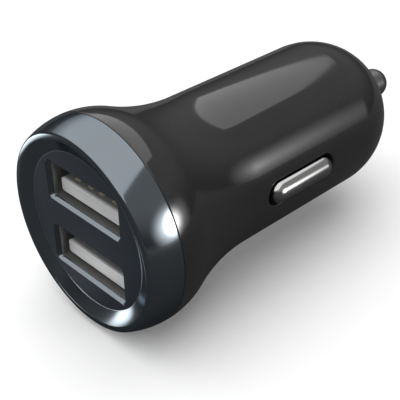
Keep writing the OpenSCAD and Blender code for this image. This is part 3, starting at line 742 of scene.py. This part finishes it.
class PLUG_OT_housing(Operator):
    """Turn the housing with its rounded end, and open the slots of the side contacts"""

    bl_idname = "plug.housing"
    bl_label = "Housing"

    def execute(self, context):
        size = sizes()
        line = Outline()
        edge = (line.crown_at(SEAM_Y), SEAM_Y)
        past = (line.crown_at(SEAM_Y + 2 * size.seam_round), SEAM_Y + 2 * size.seam_round)
        socket_r = HEAD_R - size.spigot_inset + size.fit_gap
        socket_end = SPIGOT_END + 0.3 * MM
        seam = rounded((socket_r, SEAM_Y), edge, past, size.seam_round)
        bore_r = size.tip_r + size.bore_gap
        nose_y = BARREL_LEN + BARREL_R
        seat_y = nose_y - size.nose_wall
        nose_round = 0.25 * MM
        nose_angle = math.acos((bore_r + nose_round) / BARREL_R)
        nose_edge = (bore_r, BARREL_LEN + BARREL_R * math.sin(nose_angle) + nose_round * 0.2)
        pocket_r = FLANGE_R + 0.1 * MM
        guide_r = pocket_r + size.guide_wall
        guide_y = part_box("tip_terminal")[1].y + 0.3 * MM
        inner_r = BARREL_R - size.wall
        guide_angle = math.acos(guide_r / inner_r)
        socket_angle = line.crown_angle(socket_end, size.wall)
        rows = slot_rows()
        points = (
            [(socket_r, SEAM_Y)] + seam
            + line.head_arc(line.crown_angle(past[1]), line.meet)
            + line.neck_arc()[1:]
            + [(BARREL_R, y) for y in rows]
            + arc((0, BARREL_LEN), BARREL_R, 0, nose_angle, 40)
            + [nose_edge, (bore_r, nose_edge[1] - nose_round)]
            + [(bore_r, seat_y), (pocket_r, seat_y), (pocket_r, guide_y), (guide_r, guide_y)]
            + arc((0, BARREL_LEN), inner_r, guide_angle, 0, 16)
            + [(inner_r, y) for y in reversed(rows)]
            + list(reversed(line.neck_arc(size.wall, 16)))
            + line.head_arc(line.meet, socket_angle, size.wall, 8)[1:]
            + [(socket_r, socket_end)])
        bm = turn_profile(points, closed=True)
        for side in (1, -1):
            outside = open_slot(bm, side, BARREL_R, size.slot_edge)
            inside = open_slot(bm, side, inner_r, 0.02 * MM)
            bmesh.ops.bridge_loops(bm, edges=outside + inside)
        weigh_normals(finish_piece(bm, "moulded_housing", "plug", "housing"))
        return {"FINISHED"}


class PLUG_OT_front_cap(Operator):
    """Turn the front cap with its rim and chamfer, and open the windows of the sockets"""

    bl_idname = "plug.front_cap"
    bl_label = "Front Cap"

    def execute(self, context):
        back_y = FACE_Y + sizes().plate_t
        bm = turn_profile(self.profile(back_y), closed=False)
        edges = [edge for edge in bm.edges if edge.is_boundary]
        front = [edge for edge in edges if edge.verts[0].co.y < back_y - 0.1 * MM]
        back = [edge for edge in edges if edge not in front]
        for z in PORT_Z:
            outer, inner = self.sink_window(bm, z, back_y)
            front += outer
            back += inner
        for loops in (front, back):
            bmesh.ops.triangle_fill(bm, use_beauty=True, use_dissolve=False, edges=loops)
        weigh_normals(finish_piece(bm, "moulded_cap", "plug", "front_cap"))
        return {"FINISHED"}

    def profile(self, back_y):
        """The cap's section, from its face over the rim and the seam to the back of its plate."""
        size = sizes()
        line = Outline()
        spigot_r = HEAD_R - size.spigot_inset
        inner_r = spigot_r - size.spigot_wall
        reach = size.crown_radius - size.rim_round
        rim_y = RIM_Y + size.rim_round
        rim = (line.crown[0] + math.sqrt(reach ** 2 - (size.crown_y - size.rim_round) ** 2), rim_y)
        rim_angle = math.atan2(rim[1] - line.crown[1], rim[0] - line.crown[0])
        foot = (size.face_r, FACE_Y)
        mouth = (size.mouth_r, RIM_Y)
        edge = (line.crown_at(SEAM_Y), SEAM_Y)
        before = (line.crown_at(SEAM_Y - 2 * size.seam_round), SEAM_Y - 2 * size.seam_round)
        snap_y = SPIGOT_END - 1.1 * MM
        snap_ramp = 0.5 * MM
        face_margin = 0.2 * MM
        return (
            [(size.face_r - face_margin, FACE_Y)]
            + rounded((0, FACE_Y), foot, mouth, size.edge_round * 1.5)
            + rounded(foot, mouth, (rim[0], RIM_Y), size.edge_round)
            + arc(rim, size.rim_round, -math.pi / 2, rim_angle, 8)
            + line.head_arc(rim_angle, line.crown_angle(before[1]))[1:]
            + rounded(before, edge, (spigot_r, SEAM_Y), size.seam_round)
            + [(spigot_r, SEAM_Y), (spigot_r, snap_y - snap_ramp), (spigot_r + size.snap_h, snap_y)]
            + [(spigot_r, snap_y + snap_ramp), (spigot_r, SPIGOT_END)]
            + [(inner_r, SPIGOT_END), (inner_r, back_y)])

    def sink_window(self, bm, z, back_y):
        """Sinks a window through the plate, and returns its edges on the face and at the back."""
        size = sizes()
        margin = 0.12 * MM
        grown = size.window_edge + margin
        outer = rounded_ring(
            bm, size.window_w + 2 * grown, size.window_h + 2 * grown, size.window_corner + grown)
        bmesh.ops.translate(bm, vec=(0, FACE_Y, z), verts=ends_of(outer))
        core = (size.window_w / 2 - size.window_corner, 1, size.window_h / 2 - size.window_corner)
        chamfer = chamfer_steps(size.window_edge, size.window_edge_depth)
        ring = outer
        done = 0
        for inward, depth in [(margin, 0)] + [(margin + i, depth) for i, depth in chamfer]:
            ring = extrude(bm, ring)
            pull_in(ends_of(ring), Vector((0, 0, z)), core, inward - done)
            for vert in ends_of(ring):
                vert.co.y = FACE_Y + depth
            done = inward
        shell_low, shell_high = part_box("upper_port_shell")
        room_w = shell_high.x - shell_low.x + 2 * size.fit_gap
        room_h = size.window_h + size.shell_room
        lip_y = FACE_Y + size.window_lip
        last_w, last_h = size.window_w, size.window_h
        steps = ((last_w, last_h, lip_y), (room_w, room_h, lip_y), (room_w, room_h, back_y))
        for width, height, y in steps:
            ring = extrude(bm, ring)
            for vert in ends_of(ring):
                vert.co.x += math.copysign((width - last_w) / 2, vert.co.x)
                vert.co.z += math.copysign((height - last_h) / 2, vert.co.z - z)
                vert.co.y = y
            last_w, last_h = width, height
        return outer, ring


class PLUG_OT_side_contacts(Operator):
    """Stamp the two side contacts: a long bulge on a flat flange"""

    bl_idname = "plug.side_contacts"
    bl_label = "Side Contacts"

    def execute(self, context):
        size = sizes()
        radius = size.bulge_w / 2
        run = size.bulge_len - size.bulge_w
        axis_x = CONTACT_HIGH.x - radius
        flange_half = CONTACT_HIGH.z
        flange_run = (CONTACT_HIGH.y - CONTACT_LOW.y) / 2 - flange_half
        flange_x = CONTACT_LOW.x + size.sheet_t
        for side, body, node, name in (
                (1, "right_contact", "right_side_contact", "right_contact_stamping"),
                (-1, "left_contact", "left_side_contact", "left_contact_stamping")):
            bm = bmesh.new()
            profile = arc((0, run / 2), radius, math.pi / 2, 0, 16)
            profile += arc((0, -run / 2), radius, 0, -math.pi / 2, 16)
            verts = [bm.verts.new((axis_x, CONTACT_Y + y, -r)) for r, y in profile]
            edges = [bm.edges.new(pair) for pair in zip(verts, verts[1:])]
            bmesh.ops.spin(
                bm, geom=verts + edges, cent=(axis_x, 0, 0), axis=(0, -1, 0), angle=math.pi, steps=40,
                use_merge=False)
            bmesh.ops.remove_doubles(bm, verts=bm.verts, dist=MERGE_DISTANCE)
            edges = [edge for edge in bm.edges if edge.is_boundary]
            fold = 0.25 * MM
            bends = (
                (axis_x - flange_x - fold, 0), (fold * 0.6, fold * 0.2), (fold * 0.4, fold * 0.8),
                (0, flange_half - radius - fold))
            level = Vector((axis_x, CONTACT_Y, 0))
            for drop, out in bends:
                edges = extrude(bm, edges)
                level.x -= drop
                for vert in ends_of(edges):
                    vert.co.x = level.x
                pull_in(ends_of(edges), level, (0, run / 2, 0), -out)
            for vert in ends_of(edges):
                vert.co.y += math.copysign(flange_run - run / 2, vert.co.y - CONTACT_Y)
            if side < 0:
                bmesh.ops.scale(bm, vec=(-1, 1, 1), verts=bm.verts)
            piece = finish_piece(bm, name, body, node)
            sheet = piece.modifiers.new("Sheet", "SOLIDIFY")
            sheet.thickness = size.sheet_t
            sheet.offset = -1
        return {"FINISHED"}


class PLUG_OT_tip(Operator):
    """Turn the sprung tip: dome, shank, flange and stud"""

    bl_idname = "plug.tip"
    bl_label = "Tip"

    def execute(self, context):
        size = sizes()
        low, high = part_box("tip_contact")
        seat = BARREL_LEN + BARREL_R - size.nose_wall - size.fit_gap
        flange_t = 1 * MM
        dome_y = high.y - size.tip_r
        edge = 0.12 * MM
        points = (
            [(0, low.y)]
            + rounded((0, low.y), (size.stud_r, low.y), (size.stud_r, seat), edge * 2)
            + [(size.stud_r, seat - flange_t)]
            + rounded((size.stud_r, seat - flange_t), (FLANGE_R, seat - flange_t), (FLANGE_R, seat), edge)
            + rounded((FLANGE_R, seat - flange_t), (FLANGE_R, seat), (size.tip_r, seat), edge)
            + [(size.tip_r, seat)]
            + arc((0, dome_y), size.tip_r, 0, math.pi / 2, 20))
        bm = turn_profile(points, closed=False)
        weigh_normals(finish_piece(bm, "turned_tip", "tip", "tip_contact"))
        return {"FINISHED"}


class PLUG_OT_springs(Operator):
    """Wind the coil spring and bend the two bow springs"""

    bl_idname = "plug.springs"
    bl_label = "Springs"

    def execute(self, context):
        self.wind_coil()
        self.bend_bow(1, "right_contact_spring", "right_bow", "right_contact_press")
        self.bend_bow(-1, "left_contact_spring", "left_bow", "left_contact_press")
        return {"FINISHED"}

    def wind_coil(self):
        size = sizes()
        low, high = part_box("tip_spring")
        wire = size.coil_wire
        mean_r = high.x - wire / 2
        per_turn = 48
        free = high.y - low.y - 2 * wire
        rise = free / (size.coil_turns - 1)
        bm = bmesh.new()
        verts = bmesh.ops.create_circle(bm, segments=16, radius=wire / 2)["verts"]
        bmesh.ops.translate(bm, vec=(mean_r, low.y + wire / 2, 0), verts=verts)
        section = edges_of(verts) + verts
        for turns, pitch in ((0.5, wire), (size.coil_turns - 1, rise), (0.5, wire)):
            steps = round(per_turn * turns)
            section = bmesh.ops.spin(
                bm, geom=section, cent=(0, 0, 0), axis=(0, 1, 0), dvec=(0, pitch / per_turn, 0),
                angle=WHOLE_TURN * turns, steps=steps)["geom_last"]
        bmesh.ops.remove_doubles(bm, verts=bm.verts, dist=MERGE_DISTANCE)
        bmesh.ops.holes_fill(bm, edges=[edge for edge in bm.edges if edge.is_boundary], sides=0)
        piece = finish_piece(bm, "coil_spring", "plug", "tip_spring")
        keep = 1 - travel_of("tip_press") / (high.y - low.y)
        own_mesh(piece)

    def bend_bow(self, side, node, name, joint_name):
        size = sizes()
        low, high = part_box(node)
        near = min(abs(low.x), abs(high.x))
        far = max(abs(low.x), abs(high.x))
        rise = far - near - size.bow_t
        half = (high.y - low.y) / 2 - 0.1 * MM
        radius = (half ** 2 + rise ** 2) / (2 * rise)
        centre_x = near + rise - radius
        sweep = math.asin(half / radius)
        bm = bmesh.new()
        verts = bmesh.ops.create_grid(bm, x_segments=1, y_segments=1, size=0.5)["verts"]
        for vert in verts:
            x = centre_x + radius + size.bow_t * (vert.co.x + 0.5)
            vert.co = (x, CONTACT_Y, vert.co.y * (high.z - low.z))
        turn = Matrix.Rotation(-sweep, 3, "Z")
        bmesh.ops.rotate(bm, cent=(centre_x, CONTACT_Y, 0), matrix=turn, verts=verts)
        geometry = bm.faces[:] + bm.edges[:] + bm.verts[:]
        bmesh.ops.spin(
            bm, geom=geometry, cent=(centre_x, CONTACT_Y, 0), axis=(0, 0, 1), angle=2 * sweep, steps=32)
        if side < 0:
            bmesh.ops.scale(bm, vec=(-1, 1, 1), verts=bm.verts)
        piece = finish_piece(bm, name, "plug", node)
        keep = 1 - travel_of(joint_name) / (far - near)
        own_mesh(piece)


class PLUG_OT_inner_parts(Operator):
    """Give every CAD node that is still shown its finish"""

    bl_idname = "plug.inner_parts"
    bl_label = "Inner Parts"

    def execute(self, context):
        for name, node in frame["nodes"].items():
            node.data.materials.clear()
            node.data.materials.append(finish(slot_of(name)))
        return {"FINISHED"}


class PLUG_OT_stage(Operator):
    """Lay the floor, hang the lamps and set the camera"""

    bl_idname = "plug.stage"
    bl_label = "Stage"

    def execute(self, context):
        self.lay_floor()
        self.hang_softbox()
        self.hang_lamps()
        self.set_sky()
        self.set_camera()
        context.scene.view_settings.view_transform = "Standard"
        return {"FINISHED"}

    def lay_floor(self):
        """Lays the paper. The camera sees it white, and the plug's gloss and its shade see it darker."""
        paper = bpy.data.materials.new("paper")
        recipe = Recipe(paper)
        shade = colours().floor
        fibre = recipe.noise(0.0006, 4, 0.6)
        # Painted shade: the gloss sees the paper darker than the camera does, darkest near the plug as a painted
        # shadow, and the bounce onto the plug is darkened as well.
        far = off_axis(recipe.axis("X"), recipe.axis("Y")).ramp(0.03, 0.25)
        in_gloss = recipe.blend(far, colours().floor_in_gloss, colours().far_floor_in_gloss)
        thrown = recipe.blend(recipe.add("LightPath", out="Is Glossy Ray"), colours().floor_bounce, in_gloss)
        seen = recipe.blend(fibre, shaded(shade, 0.985), shade)
        paper_shade = recipe.blend(recipe.add("LightPath", out="Is Camera Ray"), thrown, seen)
        diffuse = recipe.add("BsdfDiffuse", {}, {"Color": paper_shade})
        recipe.add("OutputMaterial", {}, {"Surface": diffuse})
        bm = bmesh.new()
        bmesh.ops.create_grid(bm, x_segments=1, y_segments=1, size=4)
        bmesh.ops.translate(bm, vec=(0, 0, -HEAD_R - 0.01 * MM), verts=bm.verts)
        object_of(bm, "floor", paper)

    def add_lamp(self, name, shape, centre, along, up, size, radiance, strength, gloss_only=False):
        """Adds an area lamp in the plane of two directions. strength shapes its light from u and v.

        A lamp that is gloss_only shows in the plug's gloss and throws no other light.
        """
        lamp = bpy.data.lights.new(name, "AREA")
        lamp.shape = shape
        lamp.size, lamp.size_y = size
        area = size[0] * size[1] * (math.pi / 4 if shape == "ELLIPSE" else 1)
        lamp.energy = radiance * WATTS_PER_RADIANCE * area
        recipe = Recipe(lamp)
        spot = recipe.add("NewGeometry", out="Parametric")
        u = recipe.add("SeparateXYZ", {}, {"Vector": spot}, out="X")
        v = recipe.add("SeparateXYZ", {}, {"Vector": spot}, out="Y")
        light = recipe.add("Emission", {}, {"Color": (1, 1, 1), "Strength": strength(u, v)})
        recipe.add("OutputLight", {}, {"Surface": light})
        along = Vector(along).normalized()
        up = Vector(up).normalized()
        lamp_object = bpy.data.objects.new(name, lamp)
        lamp_object.rotation_mode = "QUATERNION"
        lamp_object.location = centre
        turn = Matrix((along, up, along.cross(up))).transposed()
        lamp_object.rotation_quaternion = turn.to_quaternion()
        lamp_object.visible_camera = False
        lamp_object.visible_diffuse = not gloss_only
        bpy.context.scene.collection.objects.link(lamp_object)

    def hang_softbox(self):
        """A large softbox, tilted down to the left. Its low side fades."""
        corner = Vector(stage().box_corner)
        width, depth = stage().box_width, stage().box_depth
        forward = Vector((0.371, -0.928, 0)).normalized()
        down = Vector((-0.786, -0.314, -0.532)).normalized()
        centre = corner + forward * width / 2 + down * depth / 2
        self.add_lamp(
            "softbox", "RECTANGLE", centre, forward, -down, (width, depth), stage().box_light,
            lambda u, v: 1 - 0.7 * (1 - v).ramp(0.8, 1))

    def soft_lamp(self, name, centre, along, up, size, radiance, fall, gloss_only=False):
        """An oval lamp that is brightest in its middle."""

        def glow(u, v):
            return u.recipe.math("MAXIMUM", 1 - 2 * off_axis(u - 0.5, v - 0.5), 0) ** fall

        self.add_lamp(name, "ELLIPSE", centre, along, up, size, radiance, glow, gloss_only)

    def stand_lamp(self, name, at, azimuth, elevation, distance, spread, radiance, fall, gloss_only=False):
        """An oval lamp that faces a spot. spread is its half angles across and up. Angles are in degrees."""
        azimuth, elevation = math.radians(azimuth), math.radians(elevation)
        level = math.cos(elevation)
        out = Vector((math.sin(azimuth) * level, math.cos(azimuth) * level, math.sin(elevation)))
        side = Vector((0, 0, 1)).cross(out)
        reach = [2 * distance * math.tan(math.radians(angle)) for angle in spread]
        centre = Vector(at) + out * distance
        self.soft_lamp(name, centre, side, out.cross(side), reach, radiance, fall, gloss_only)

    def hang_lamps(self):
        """Lights the streaks, the hot spots at the seam and the highlights around the mouth."""
        light = stage()
        on_head = (0.0118, -0.0168, 0.003)
        on_neck = (0.008, 0.008, 0.006)
        before_mouth = (-0.0078, -0.0258, -HEAD_R + 0.1 * MM)
        self.stand_lamp("round_lamp", on_head, 68, 9.5, 0.2, (30, 22), light.spot_light, 2)
        self.stand_lamp(
            "bright_lamp", on_head, 62, 10, 0.2, (18, 15), light.bright_light, 2.2, gloss_only=True)
        self.stand_lamp("wide_lamp", on_neck, 51, 8, 0.3, (17, 17), light.strip_light, 1.3)
        self.stand_lamp("low_lamp", (0, FACE_Y, 0), -112, -6, 0.045, (10, 10), light.edge_light, 0.5)
        self.soft_lamp(
            "mouth_card", before_mouth, (0.8, 0.6, 0), (0.6, -0.8, 0), (0.0085, 0.005), light.card_light, 0.5,
            gloss_only=True)

    def set_sky(self):
        world = bpy.data.worlds.new("sky")
        bpy.context.scene.world = world
        recipe = Recipe(world)
        height = recipe.axis("Z")
        strength = stage().sky_light * (0.15 + 0.85 * height.ramp(0, 0.6))
        sky = recipe.add("Background", {}, {"Color": (1, 1, 1), "Strength": strength})
        recipe.add("OutputWorld", {}, {"Surface": sky})

    def set_camera(self):
        lens = bpy.data.cameras.new("camera")
        lens.lens = stage().lens
        lens.sensor_width = 36
        lens.clip_start = 0.005
        lens.clip_end = 20
        camera = bpy.data.objects.new("camera", lens)
        bpy.context.scene.collection.objects.link(camera)
        aim = Vector(stage().camera_aim).normalized()
        camera.rotation_mode = "QUATERNION"
        camera.location = stage().camera_at
        camera.rotation_quaternion = Quaternion(aim, stage().camera_roll) @ aim.to_track_quat("-Z", "Y")
        bpy.context.scene.camera = camera


OPERATORS = (
    PLUG_OT_inner_parts, PLUG_OT_housing, PLUG_OT_front_cap, PLUG_OT_side_contacts, PLUG_OT_tip,
    PLUG_OT_springs, PLUG_OT_stage)


class PLUG_PT_panel(Panel):
    """Lists the plug's pieces, sizes and colours"""

    bl_label = "Charger Plug"
    bl_space_type = "VIEW_3D"
    bl_region_type = "UI"
    bl_category = "Plug"

    def draw(self, context):
        for operator in OPERATORS:
            self.layout.operator(operator.bl_idname)
        for group in (sizes(), colours(), stage()):
            box = self.layout.box()
            for name in group.bl_rna.properties.keys():
                if name not in ("rna_type", "name"):
                    box.prop(group, name)


GROUPS = {"plug_sizes": PlugSizes, "plug_colours": PlugColours, "plug_stage": PlugStage}
CLASSES = (*GROUPS.values(), *OPERATORS, PLUG_PT_panel)


def register():
    for item in CLASSES:
        bpy.utils.register_class(item)
    for name, group in GROUPS.items():
        setattr(bpy.types.Scene, name, PointerProperty(type=group))


def unregister():
    for name in GROUPS:
        delattr(bpy.types.Scene, name)
    for item in reversed(CLASSES):
        bpy.utils.unregister_class(item)


def main():
    """Builds every piece and the stage."""
    register()
    for operator in OPERATORS:
        getattr(bpy.ops.plug, operator.bl_idname.split(".")[1])()


if __name__ == "__main__":
    main()
